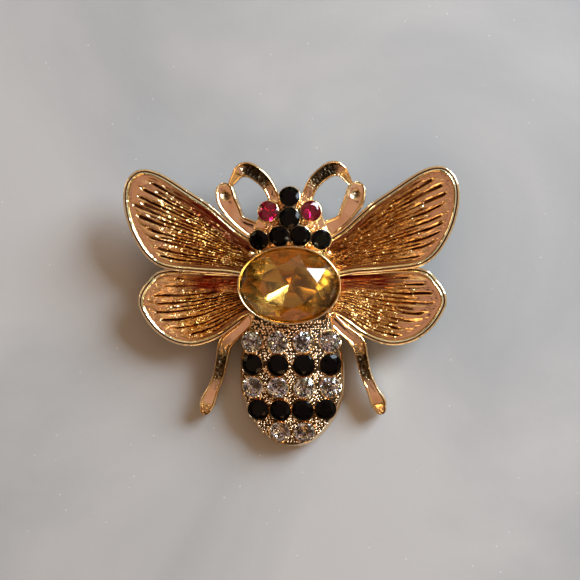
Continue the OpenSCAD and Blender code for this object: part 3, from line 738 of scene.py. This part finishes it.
def cut_away(piece, tools):
    """Takes the shapes in tools, each points and faces in mm, out of a piece."""
    work = bmesh.new()
    for points, faces in tools:
        spots = [work.verts.new(p) for p in points]
        for face in faces:
            work.faces.new([spots[i] for i in face])
    bmesh.ops.recalc_face_normals(work, faces=work.faces)
    mesh = bpy.data.meshes.new("tool")
    work.to_mesh(mesh)
    work.free()
    mesh.transform(REST)
    tool = put_in_scene("tool", mesh)
    cut = piece.modifiers.new("cut", "BOOLEAN")
    cut.operation, cut.solver, cut.object = "DIFFERENCE", "EXACT", tool
    cut.use_self = True
    apply_modifiers(piece)
    bpy.data.objects.remove(tool)
    bpy.data.meshes.remove(mesh)


def seat(place, facing, d):
    """The room for a round stone: a cone for its point and a short bore above it."""
    bore = d / 2 + SEAT_GAP
    sizes = ((0.2 * d / 2, -0.4 * d - 2 * SEAT_GAP), (bore, -SEAT_GAP), (bore, 0.5 * d))
    return tube([
        np.array([stand(place, facing) @ Vector(p) for p in ellipse(r, r, z, 40)])
        for r, z in sizes])


hollow_edge = [(out * ABDOMEN_W, -along * ABDOMEN_L) for out, along in ABDOMEN_EDGE if along > 0.3]
hollow_edge += [(-x, y) for x, y in hollow_edge[::-1]]
middle_y = np.mean([y for _, y in hollow_edge])
hollow = tube([
    np.array([(x * share, middle_y + (y - middle_y) * share, z) for x, y in hollow_edge])
    for share, z in ((0.8, -1.0), (0.78, 1.0), (0.74, 1.2))])
cut_away(abdomen, [seat(place, facing, STONE_D) for _, place, facing in abdomen_stones] + [hollow])
part_of_casting(abdomen)

# The head is a cluster of round pads, one under each stone, run together in the
# mould. Its stones are a little smaller and stand closer than the others.
HEAD_D, HEAD_SPACE = 2.7, 0.12
HEAD_PITCH = HEAD_D + HEAD_SPACE
HEAD_H, HEAD_Z0 = 4.5, 0.6
HEAD_ACROSS, HEAD_ALONG = 0.035, 0.045
# The row of four bends back at its ends, and the eyes stand up beside the middle.
ROW_BEND, EYE_RISE = math.radians(10), math.radians(17)
EYE_FAR = 1.06 * HEAD_PITCH
HEAD_ROW_Y = LIP_B + 1.25
OUTER_X = HEAD_PITCH * (0.5 + math.cos(ROW_BEND))
OUTER_Y = HEAD_ROW_Y - HEAD_PITCH * math.sin(ROW_BEND)
MIDDLE_Y = HEAD_ROW_Y + HEAD_PITCH * math.sin(math.radians(60))
EYE_X, EYE_Y = EYE_FAR * math.cos(EYE_RISE), MIDDLE_Y + EYE_FAR * math.sin(EYE_RISE)
HEAD_DOME_Y = HEAD_ROW_Y + HEAD_PITCH / 2
# The shoulders join the head to the forewings. Columns: out, along.
SHOULDER = [(5.17, 2.1), (3, 3.5)]
SHOULDER_R, SHOULDER_TOP = 1.3, 1.9


def head_top(x, y):
    return HEAD_H - HEAD_ACROSS * x * x - HEAD_ALONG * (y - HEAD_DOME_Y) ** 2


head_stones = []
for name, x, y in (
    ("head_stone_lower_1", -OUTER_X, OUTER_Y),
    ("head_stone_lower_2", -HEAD_PITCH / 2, HEAD_ROW_Y),
    ("head_stone_lower_3", HEAD_PITCH / 2, HEAD_ROW_Y),
    ("head_stone_lower_4", OUTER_X, OUTER_Y),
    ("head_stone_middle", 0, MIDDLE_Y),
    ("head_stone_top", 0, MIDDLE_Y + HEAD_PITCH),
    ("eye_stone_left", -EYE_X, EYE_Y),
    ("eye_stone_right", EYE_X, EYE_Y),
):
    facing = Vector((2 * HEAD_ACROSS * x, 2 * HEAD_ALONG * (y - HEAD_DOME_Y), 1)).normalized()
    head_stones.append((name, (x, y, head_top(x, y)), facing))


def drum(x, y, radius, heights):
    """Points round the two ends of an upright drum."""
    return [(x + dx, y + dy, z) for z in heights for dx, dy, _ in ellipse(radius, radius, 0, 16)]


def wrap(work, points):
    """Adds the tightest closed shape round the points."""
    bmesh.ops.convex_hull(
        work, input=[work.verts.new(p) for p in points], use_existing_faces=False)


work = bmesh.new()
for _, place, facing in head_stones:
    r = HEAD_D / 2 + 0.15
    foot = [(place[0] + x, place[1] + y, HEAD_Z0) for x, y, _ in ellipse(r, r, 0, 40)]
    wrap(work, foot + [stand(place, facing) @ Vector(p) for p in ellipse(r, r, 0.08, 40)])
wrap(work, [p for _, (x, y, z), _ in head_stones for p in drum(x, y, 1.2, (HEAD_Z0, z - 1.2))])
for side in (-1, 1):
    wrap(work, [
        p for x, y in SHOULDER for p in drum(side * x, y, SHOULDER_R, (HEAD_Z0, SHOULDER_TOP))])
head_mesh = bpy.data.meshes.new("head")
work.to_mesh(head_mesh)
work.free()
head = put_in_scene("head", head_mesh)
melt = head.modifiers.new("melt", "REMESH")
melt.mode, melt.voxel_size = "VOXEL", 0.11
soften = head.modifiers.new("soften", "SMOOTH")
soften.factor, soften.iterations = 0.5, 3
apply_modifiers(head)
head.data.transform(REST)
head.data.materials.append(gold)
cut_away(head, [seat(place, facing, HEAD_D) for _, place, facing in head_stones])
# Painted shade: the metal between two stones is painted dark and dull, where shade falls in the gap
# between them.
between = head.data.attributes.new("antique_and_shade", "FLOAT", "POINT")
flat_again = REST.inverted()
for i, vertex in enumerate(head.data.vertices):
    x, y, z = flat_again @ vertex.co
    away = sorted(math.hypot(x - place[0], y - place[1]) for _, place, _ in head_stones)
    between.data[i].value = 0.92 * (z > 2 and away[1] < HEAD_D / 2 + 0.4)
part_of_casting(smooth(head, 50))

# Each stone is pushed into its seat and a collar of metal, 0.1 to 0.2 mm wide, is
# rubbed over its edge. The collars are rings set on the stones' places.


def repeat_tree():
    """Node tree that sets copies of a template on the points of a piece, each turned
    to the point's facing, with a random spin and size, then gives them two finishes:
    the second one where the template's own attribute back says so."""
    tree = bpy.data.node_groups.new("set_on_points", "GeometryNodeTree")
    face = tree.interface
    face.new_socket("Points", in_out="INPUT", socket_type="NodeSocketGeometry")
    for name, kind in (
        ("Template", "Object"), ("Size", "Float"), ("Size spread", "Float"), ("Spin", "Float"),
        ("Seed", "Int"), ("Finish", "Material"), ("Back finish", "Material"),
    ):
        face.new_socket(name, in_out="INPUT", socket_type=f"NodeSocket{kind}")
    face.new_socket("Mesh", in_out="OUTPUT", socket_type="NodeSocketGeometry")
    given = add(tree, "NodeGroupInput").outputs
    template = add(tree, "GeometryNodeObjectInfo", {"Object": given["Template"]})
    facing = add(tree, "GeometryNodeInputNamedAttribute", {
        "Name": "facing"}, data_type="FLOAT_VECTOR")
    aim = add(tree, "FunctionNodeAlignRotationToVector", {"Vector": facing}, axis="Z")
    most = add(tree, "Math", {0: given["Spin"], 1: -1.0}, operation="MULTIPLY")
    spin = add(tree, "FunctionNodeRandomValue", {
        2: most, 3: given["Spin"], "Seed": given["Seed"]}, data_type="FLOAT")
    about = add(tree, "FunctionNodeAxisAngleToRotation", {
        "Axis": (0, 0, 1), "Angle": spin.outputs[1]})
    turn = add(tree, "FunctionNodeRotateRotation", {
        "Rotation": aim, "Rotate By": about}, rotation_space="LOCAL")
    least = add(tree, "Math", {0: 1.0, 1: given["Size spread"]}, operation="SUBTRACT")
    share = add(tree, "FunctionNodeRandomValue", {
        2: least, 3: 1.0, "Seed": given["Seed"]}, data_type="FLOAT")
    size = add(tree, "Math", {0: share.outputs[1], 1: given["Size"]}, operation="MULTIPLY")
    put = add(tree, "GeometryNodeInstanceOnPoints", {
        "Points": given["Points"], "Instance": template.outputs["Geometry"],
        "Rotation": turn, "Scale": size})
    real = add(tree, "GeometryNodeRealizeInstances", {0: put})
    first = add(tree, "GeometryNodeSetMaterial", {"Geometry": real, "Material": given["Finish"]})
    back = add(tree, "GeometryNodeInputNamedAttribute", {"Name": "back"}, data_type="FLOAT")
    second = add(tree, "GeometryNodeSetMaterial", {
        "Geometry": first, "Selection": back,
        "Material": given["Back finish"]})
    add(tree, "NodeGroupOutput", {0: second})
    return tree


SET_ON_POINTS = repeat_tree()


def set_on_points(name, spots, template, size, finish, back_finish=None, spin=0.0,
                  size_spread=0.0, seed=0):
    """One mesh with a copy of the template at each (place, facing). The template is
    points, faces and, for each face, 1 where it gets the back finish and else 0."""
    points, faces, backs = template
    shape = new_mesh("template", points, faces)
    layer = shape.attributes.new("back", "FLOAT", "FACE")
    layer.data.foreach_set("value", np.array(backs, np.float32))
    face_outwards(shape)
    pattern = put_in_scene("template", shape)
    mesh = new_mesh(name, [REST @ Vector(place) for place, _ in spots])
    layer = mesh.attributes.new("facing", "FLOAT_VECTOR", "POINT")
    turned = [(REST.to_3x3() @ Vector(facing)).normalized() for _, facing in spots]
    layer.data.foreach_set("vector", np.array(turned, np.float32).ravel())
    piece = put_in_scene(name, mesh)
    setter = piece.modifiers.new("set", "NODES")
    setter.node_group = SET_ON_POINTS
    values = {
        "Template": pattern, "Size": size * MM, "Size spread": size_spread, "Spin": spin,
        "Seed": seed, "Finish": finish, "Back finish": back_finish or finish,
    }
    for socket in SET_ON_POINTS.interface.items_tree:
        if socket.name in values:
            setter[socket.identifier] = values[socket.name]
    apply_modifiers(piece)
    piece.data.name = name
    bpy.data.objects.remove(pattern)
    bpy.data.meshes.remove(shape)
    return piece


def collar(inner, outer, high):
    """A closed ring for a stone 1 across, as a template."""
    sides = 40
    rows = (
        (inner, -0.3), (inner, high - 0.04), (inner - 0.02, high),
        ((inner + outer) / 2, high + 0.05), (outer, high - 0.02), (outer + 0.03, -0.3))
    points, faces = tube([ellipse(r, r, z, sides) for r, z in rows])
    last = (len(rows) - 1) * sides
    inside = [(last + j, last + (j + 1) % sides, (j + 1) % sides, j) for j in range(sides)]
    faces = faces[:-2] + inside
    return points, faces, [0] * len(faces)


# The head's stones all but touch, so its collars are thinner and stay lower.
for name, stones, ring, d in (
    ("abdomen_collars", abdomen_stones, collar(0.515, 0.555, 0.04), STONE_D),
    ("head_collars", head_stones, collar(0.505, 0.522, -0.02), HEAD_D),
):
    part_of_casting(smooth(set_on_points(name, [s[1:] for s in stones], ring, d, gold)))

# Cast grains, 0.3 to 0.5 mm across, fill the metal between the stones in staggered
# rows 0.36 mm apart, and make a band behind the cup. Larger ones lie on the head.
GRAIN_D, GRAIN_ROW, GRAIN_STEP = 0.5, 0.36, 0.41
HEAD_GRAIN_D, HEAD_GRAIN_ROW, HEAD_GRAIN_STEP = 0.62, 0.42, 0.48
random = np.random.default_rng(5)


def to_nearest(x, y, stones):
    return min(math.hypot(x - place[0], y - place[1]) for _, place, _ in stones)


outline = np.array([(out * ABDOMEN_W, -along * ABDOMEN_L) for out, along in ABDOMEN_EDGE])
grain_spots = []
for row, y in enumerate(np.arange(-LIP_B + 0.4, -ABDOMEN_L + 0.6, -GRAIN_ROW)):
    wide = np.interp(-y, -outline[:, 1], outline[:, 0]) - 0.55
    for x in np.arange(-wide + 0.2 * (row % 2), wide, GRAIN_STEP):
        if math.hypot(x / (LIP_A + 0.1), y / (LIP_B + 0.1)) > 1:
            sunk = random.uniform(0, 0.1)
            at = x + random.uniform(-0.1, 0.1), y + random.uniform(-0.1, 0.1)
            if to_nearest(*at, abdomen_stones) >= STONE_D / 2 + 0.18:
                grain_spots.append(((*at, abdomen_top(*at) - sunk), abdomen_facing(*at)))
work = bmesh.new()
bmesh.ops.create_icosphere(work, subdivisions=1, radius=0.5)
bead = (
    np.array([v.co[:] for v in work.verts]),
    [[v.index for v in f.verts] for f in work.faces],
    [0] * len(work.faces))
work.free()
# The abdomen's grains carry a painted highlight: a copy of the gold in paler tones, for the light
# that their round tops catch.
painted_pale = gold.copy()
painted_pale.name = "rubbed_gold_plating"
ramp = next(node for node in painted_pale.node_tree.nodes if node.type == "VALTORGB").color_ramp
ramp.elements[0].color = linear("E7CEAF")
ramp.elements[1].color = linear("F6E7D1")
part_of_casting(smooth(set_on_points(
    "grains", grain_spots, bead, GRAIN_D, painted_pale, size_spread=0.45, seed=3), 180))

head_grain_spots = []
for row, y in enumerate(np.arange(3.6, 11.4, HEAD_GRAIN_ROW)):
    for x in np.arange(-5.4 + 0.24 * (row % 2), 5.41, HEAD_GRAIN_STEP):
        beside = abs(x) + 0.62 * (y - OUTER_Y) < OUTER_X + 0.75 and y > OUTER_Y - 0.6
        if beside and to_nearest(x, y, head_stones) > HEAD_D / 2 + 0.22:
            at = x + random.uniform(-0.08, 0.08), y + random.uniform(-0.08, 0.08)
            z = head_top(x, y) - 0.9 + random.uniform(-0.15, 0.15)
            head_grain_spots.append(((*at, z), Vector((0, 0, 1))))
part_of_casting(smooth(set_on_points(
    "head_grains", head_grain_spots, bead, HEAD_GRAIN_D, gold, size_spread=0.4, seed=8), 180))

# Four round studs, cast with the rest and plated with it, stand in the corners around
# the cup. They are plain domes 0.9 mm across.
# Columns: radius, height.
STUD_SIDE = [
    (0.42, -3.4), (0.36, -0.5), (0.44, -0.25), (0.46, 0.0), (0.4, 0.24), (0.24, 0.4), (0.08, 0.46)]
STUD_X, STUD_Y, STUD_Z = 5.15, 4.15, 4.5
points, faces = tube([ellipse(r, r, z, 20) for r, z in STUD_SIDE])
stud_spots = [
    ((x, y, STUD_Z), Vector((0, 0, 1))) for x in (-STUD_X, STUD_X) for y in (-STUD_Y, STUD_Y)]
part_of_casting(smooth(set_on_points(
    "cup_studs", stud_spots, (points, faces, [0] * len(faces)), 1.0, gold), 180))

# The round stones are machine cut glass points. The clear and red ones have mirror
# foil behind them; the black ones are solid black glass.
random = np.random.default_rng(21)


def chaton(table, crown):
    """A stone 1 across whose back facets were ground a little unevenly."""
    points, faces, backs = cut_stone(table, crown, 0.1, 0.9, 0.06, lift=0.86)
    shake = random.uniform(-0.07, 0.07, len(points)) * (points[:, 2] < -0.02)
    return (points + np.outer(shake, (0, 0, 1))) * 0.5, faces, backs


CHATON_CUT = chaton(0.5, 0.44)
FLAT_CUT = chaton(0.6, 0.28)

# Clear glass, from faintly pink to faintly blue over 4 mm, so from stone to stone.
clear = cut_glass("clear_cut_glass", 260, 1, 0.0, ("FFF7F6", "F8FFFF"), 1.56)
# Silver foil sends sharp white flashes back. It is painted dark in spots 0.4 mm wide, which stand
# in for the dark reflections that the stones' facets show.
foil, tree = finish_tree("silver_foil")
place = add(tree, "TexCoord").outputs["Object"]
dark_spot_noise = add(tree, "TexNoise", {"Vector": place, "Scale": 2400, "Detail": 2})
pale_share = add(tree, "MapRange", {0: dark_spot_noise, 1: 0.4, 2: 0.51})
tint = add(tree, "Mix", {0: pale_share, 6: linear("433C3C"), 7: linear("F6FCFF")}, data_type="RGBA")
shader = add(tree, "BsdfPrincipled", {
    "Base Color": tint.outputs[2], "Metallic": 1.0, "Roughness": 0.03})
add(tree, "OutputMaterial", {"Surface": shader})
# Black glass: no light comes back from inside, only sharp glints off the facets,
# broken by faint scuffs about 0.4 mm long.
black, tree = finish_tree("black_cut_glass")
place = add(tree, "TexCoord").outputs["Object"]
scuffs = add(tree, "TexNoise", {"Vector": place, "Scale": 2200, "Detail": 3})
haze = add(tree, "MapRange", {0: scuffs, 1: 0.45, 2: 0.7, 3: 0.02, 4: 0.14})
tint = add(tree, "Mix", {0: scuffs, 6: linear("010101"), 7: linear("030303")}, data_type="RGBA")
shader = add(tree, "BsdfPrincipled", {
    "Base Color": tint.outputs[2], "Roughness": haze, "IOR": 1.23})
add(tree, "OutputMaterial", {"Surface": shader})
# Ruby glass: bright pink where the foil shows through, dark red at the edge, with
# patches 1.4 mm wide. The foil behind it is an even, bright mirror.
ruby = cut_glass("ruby_cut_glass", 700, 2, 0.0, ("730727", "BF2165"), 1.54)
ruby_foil, tree = finish_tree("silver_foil_behind_ruby")
shader = add(tree, "BsdfPrincipled", {
    "Base Color": linear("F0CBDA"), "Metallic": 1.0, "Roughness": 0.08})
add(tree, "OutputMaterial", {"Surface": shader})

for name, word, stones, d, finish, back_finish, slot in (
    ("clear_stones", "clear", abdomen_stones, STONE_D, clear, foil, "clear_glass"),
    ("black_stones", "black", abdomen_stones, STONE_D, black, black, "black_glass"),
    ("head_black_stones", "head", head_stones, HEAD_D, black, black, "black_glass"),
    ("eye_stones", "eye", head_stones, HEAD_D, ruby, ruby_foil, "red_glass"),
):
    chosen = [s for s in stones if s[0].startswith(word)]
    leaning = [
        (place, (facing + Vector((*random.uniform(-0.06, 0.06, 2), 0))).normalized())
        for _, place, facing in chosen]
    piece = set_on_points(
        name, leaning, CHATON_CUT if finish is clear else FLAT_CUT, 1.035 * d, finish,
        back_finish, spin=3.1, seed=len(name))
    piece.data.shade_flat()
    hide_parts(*[s[0] for s in chosen])
    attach(piece, "root")

# The antennae and legs are cast straps with a channel down the middle, where the
# tumbling couldn't reach, so the channel stays dark and rough.
# Columns: out and along, shares of the strap's reach and length; width, mm; height,
# share of its greatest height; depth of the channel, share of CHANNEL.
ANTENNA = [
    (0.26, 0.672, 1.6, 0.9, 0), (0.325, 0.764, 1.7, 0.92, 0.2), (0.417, 0.838, 1.85, 0.96, 0.9),
    (0.533, 0.891, 2.0, 1, 1), (0.658, 0.930, 2.1, 1, 1), (0.76, 0.937, 2.1, 0.98, 0.7),
    (0.85, 0.917, 1.8, 0.93, 0), (0.90, 0.889, 1.4, 0.85, 0), (1.0, 0.82, 0.8, 0.7, 0),
]
FORELEG = [
    (0.60, 0.60, 2.4, 0.85, 0), (0.776, 0.681, 1.8, 0.9, 0), (0.875, 0.787, 2.45, 0.96, 0),
    (0.957, 0.894, 2.85, 1, 0), (0.99, 0.985, 2.7, 0.95, 0),
]
HINDLEG = [
    (0.47, 0.28, 1.6, 1, 0), (0.60, 0.37, 1.65, 1, 0), (0.752, 0.467, 2.0, 1, 0.3),
    (0.798, 0.586, 1.75, 0.95, 0.9), (0.838, 0.717, 1.6, 0.9, 0.9), (0.905, 0.835, 1.7, 0.85, 0.1),
    (0.975, 0.945, 2.2, 0.8, 0), (1.0, 1.0, 1.7, 0.75, 0.3),
]
CHANNEL, CHANNEL_SHAKE, PIT = 0.5, 0.45, 0.3
# Half of the cross-section. Columns: out, share of half the width; height, share
# of the rise; how far the channel reaches there.
STRAP_SECTION = [
    (0, 0, 0), (0.5, 0, 0), (0.9, 0, 0), (1, 0.1, 0), (1, 0.6, 0), (0.985, 0.8, 0),
    (0.94, 0.93, 0), (0.88, 0.99, 0), (0.82, 1, 0), (0.74, 0.97, 0), (0.66, 0.93, 0.3),
    (0.56, 0.92, 0.9), (0.4, 0.92, 1), (0.2, 0.93, 1), (0, 0.93, 1),
]
# The rounded ends. Columns: how far past the end, share of half the width; size of
# the cross-section there.
STRAP_END = [(1.0, 0.04), (0.92, 0.4), (0.7, 0.72), (0.38, 0.93)]


def strap(name, side, table, reach, along, tall, foot, seed, pits=()):
    """A strap through the rows of a table, with dark pits at (out, along, width)."""
    random = np.random.default_rng(seed)
    rows = eased([(o * reach, a * along, w / 2, h * tall, c) for o, a, w, h, c in table], 12, False)
    ways = np.gradient(rows[:, :2], axis=0)
    ways /= np.linalg.norm(ways, axis=1)[:, None]
    section = STRAP_SECTION + [(-o, h, c) for o, h, c in STRAP_SECTION[-2:0:-1]]

    def rounded(end, onward):
        return [
            (rows[end] + np.append(onward * ways[end] * far * rows[end][2], (0, 0, 0)),
             ways[end], share)
            for far, share in STRAP_END]

    spots = rounded(0, -1) + [(row, way, 1.0) for row, way in zip(rows, ways)]
    rings, darkening = [], []
    for (x, y, w, top, channel), way, k in spots + rounded(-1, 1)[::-1]:
        channel = max(channel, 0)
        ring = []
        for o, h, c in section:
            dip = CHANNEL * c * channel * (1 + random.uniform(-CHANNEL_SHAKE, CHANNEL_SHAKE))
            across = o * w * k
            level = h if h < 0.5 else 0.5 + (h - 0.5) * (0.4 + 0.6 * k)
            z = foot + (top - foot) * level - dip
            ring.append((x + way[1] * across, y - way[0] * across, z))
            darkening.append(min(1, c * channel * 1.1) * 0.9)
        rings.append(np.array(ring))
    points, faces = tube(rings)
    for x, y, wide in pits:
        away = np.hypot(points[:, 0] - x, points[:, 1] - y) / wide
        hole = np.exp(-away ** 4) * (points[:, 2] > foot + 0.5 * (tall - foot))
        points[:, 2] -= PIT * hole
        darkening = np.maximum(darkening, 0.9 * hole)
    points[:, 0] *= side
    part_of_casting(finish_piece(name, points, faces, [gold], 60, attributes={"antique_and_shade": darkening}))


for side, word in ((1, "right"), (-1, "left")):
    strap(f"antenna_{word}", side, ANTENNA, reach=8.1, along=16.5, tall=3.2, foot=0.85, seed=3)
    strap(
        f"foreleg_{word}", side, FORELEG, reach=8.95, along=12.6, tall=2.9, foot=0.85, seed=4,
        pits=((8.75, 11.9, 0.5), (8.95, 12.35, 0.3)))
    strap(f"hindleg_{word}", side, HINDLEG, reach=11.9, along=-17.0, tall=2.9, foot=0.2, seed=5)

# The pin back is plated steel: a bar soldered to the back, with a knuckle and a
# catch that hold the wire. Its CAD solid has the right shape and stays.
# Plated steel is smooth, with soft, even reflections and a grain of 1 mm.
steel, tree = finish_tree("plated_steel")
place = add(tree, "TexCoord").outputs["Object"]
brushed = add(tree, "TexNoise", {"Vector": place, "Scale": 900, "Detail": 2})
haze = add(tree, "MapRange", {0: brushed, 1: 0.3, 2: 0.7, 3: 0.18, 4: 0.34})
shader = add(tree, "BsdfPrincipled", {
    "Base Color": linear("E3BC84"), "Metallic": 1.0, "Roughness": haze})
add(tree, "OutputMaterial", {"Surface": shader})
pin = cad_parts["pin_back"]
for holder in pin.material_slots:
    holder.material = steel
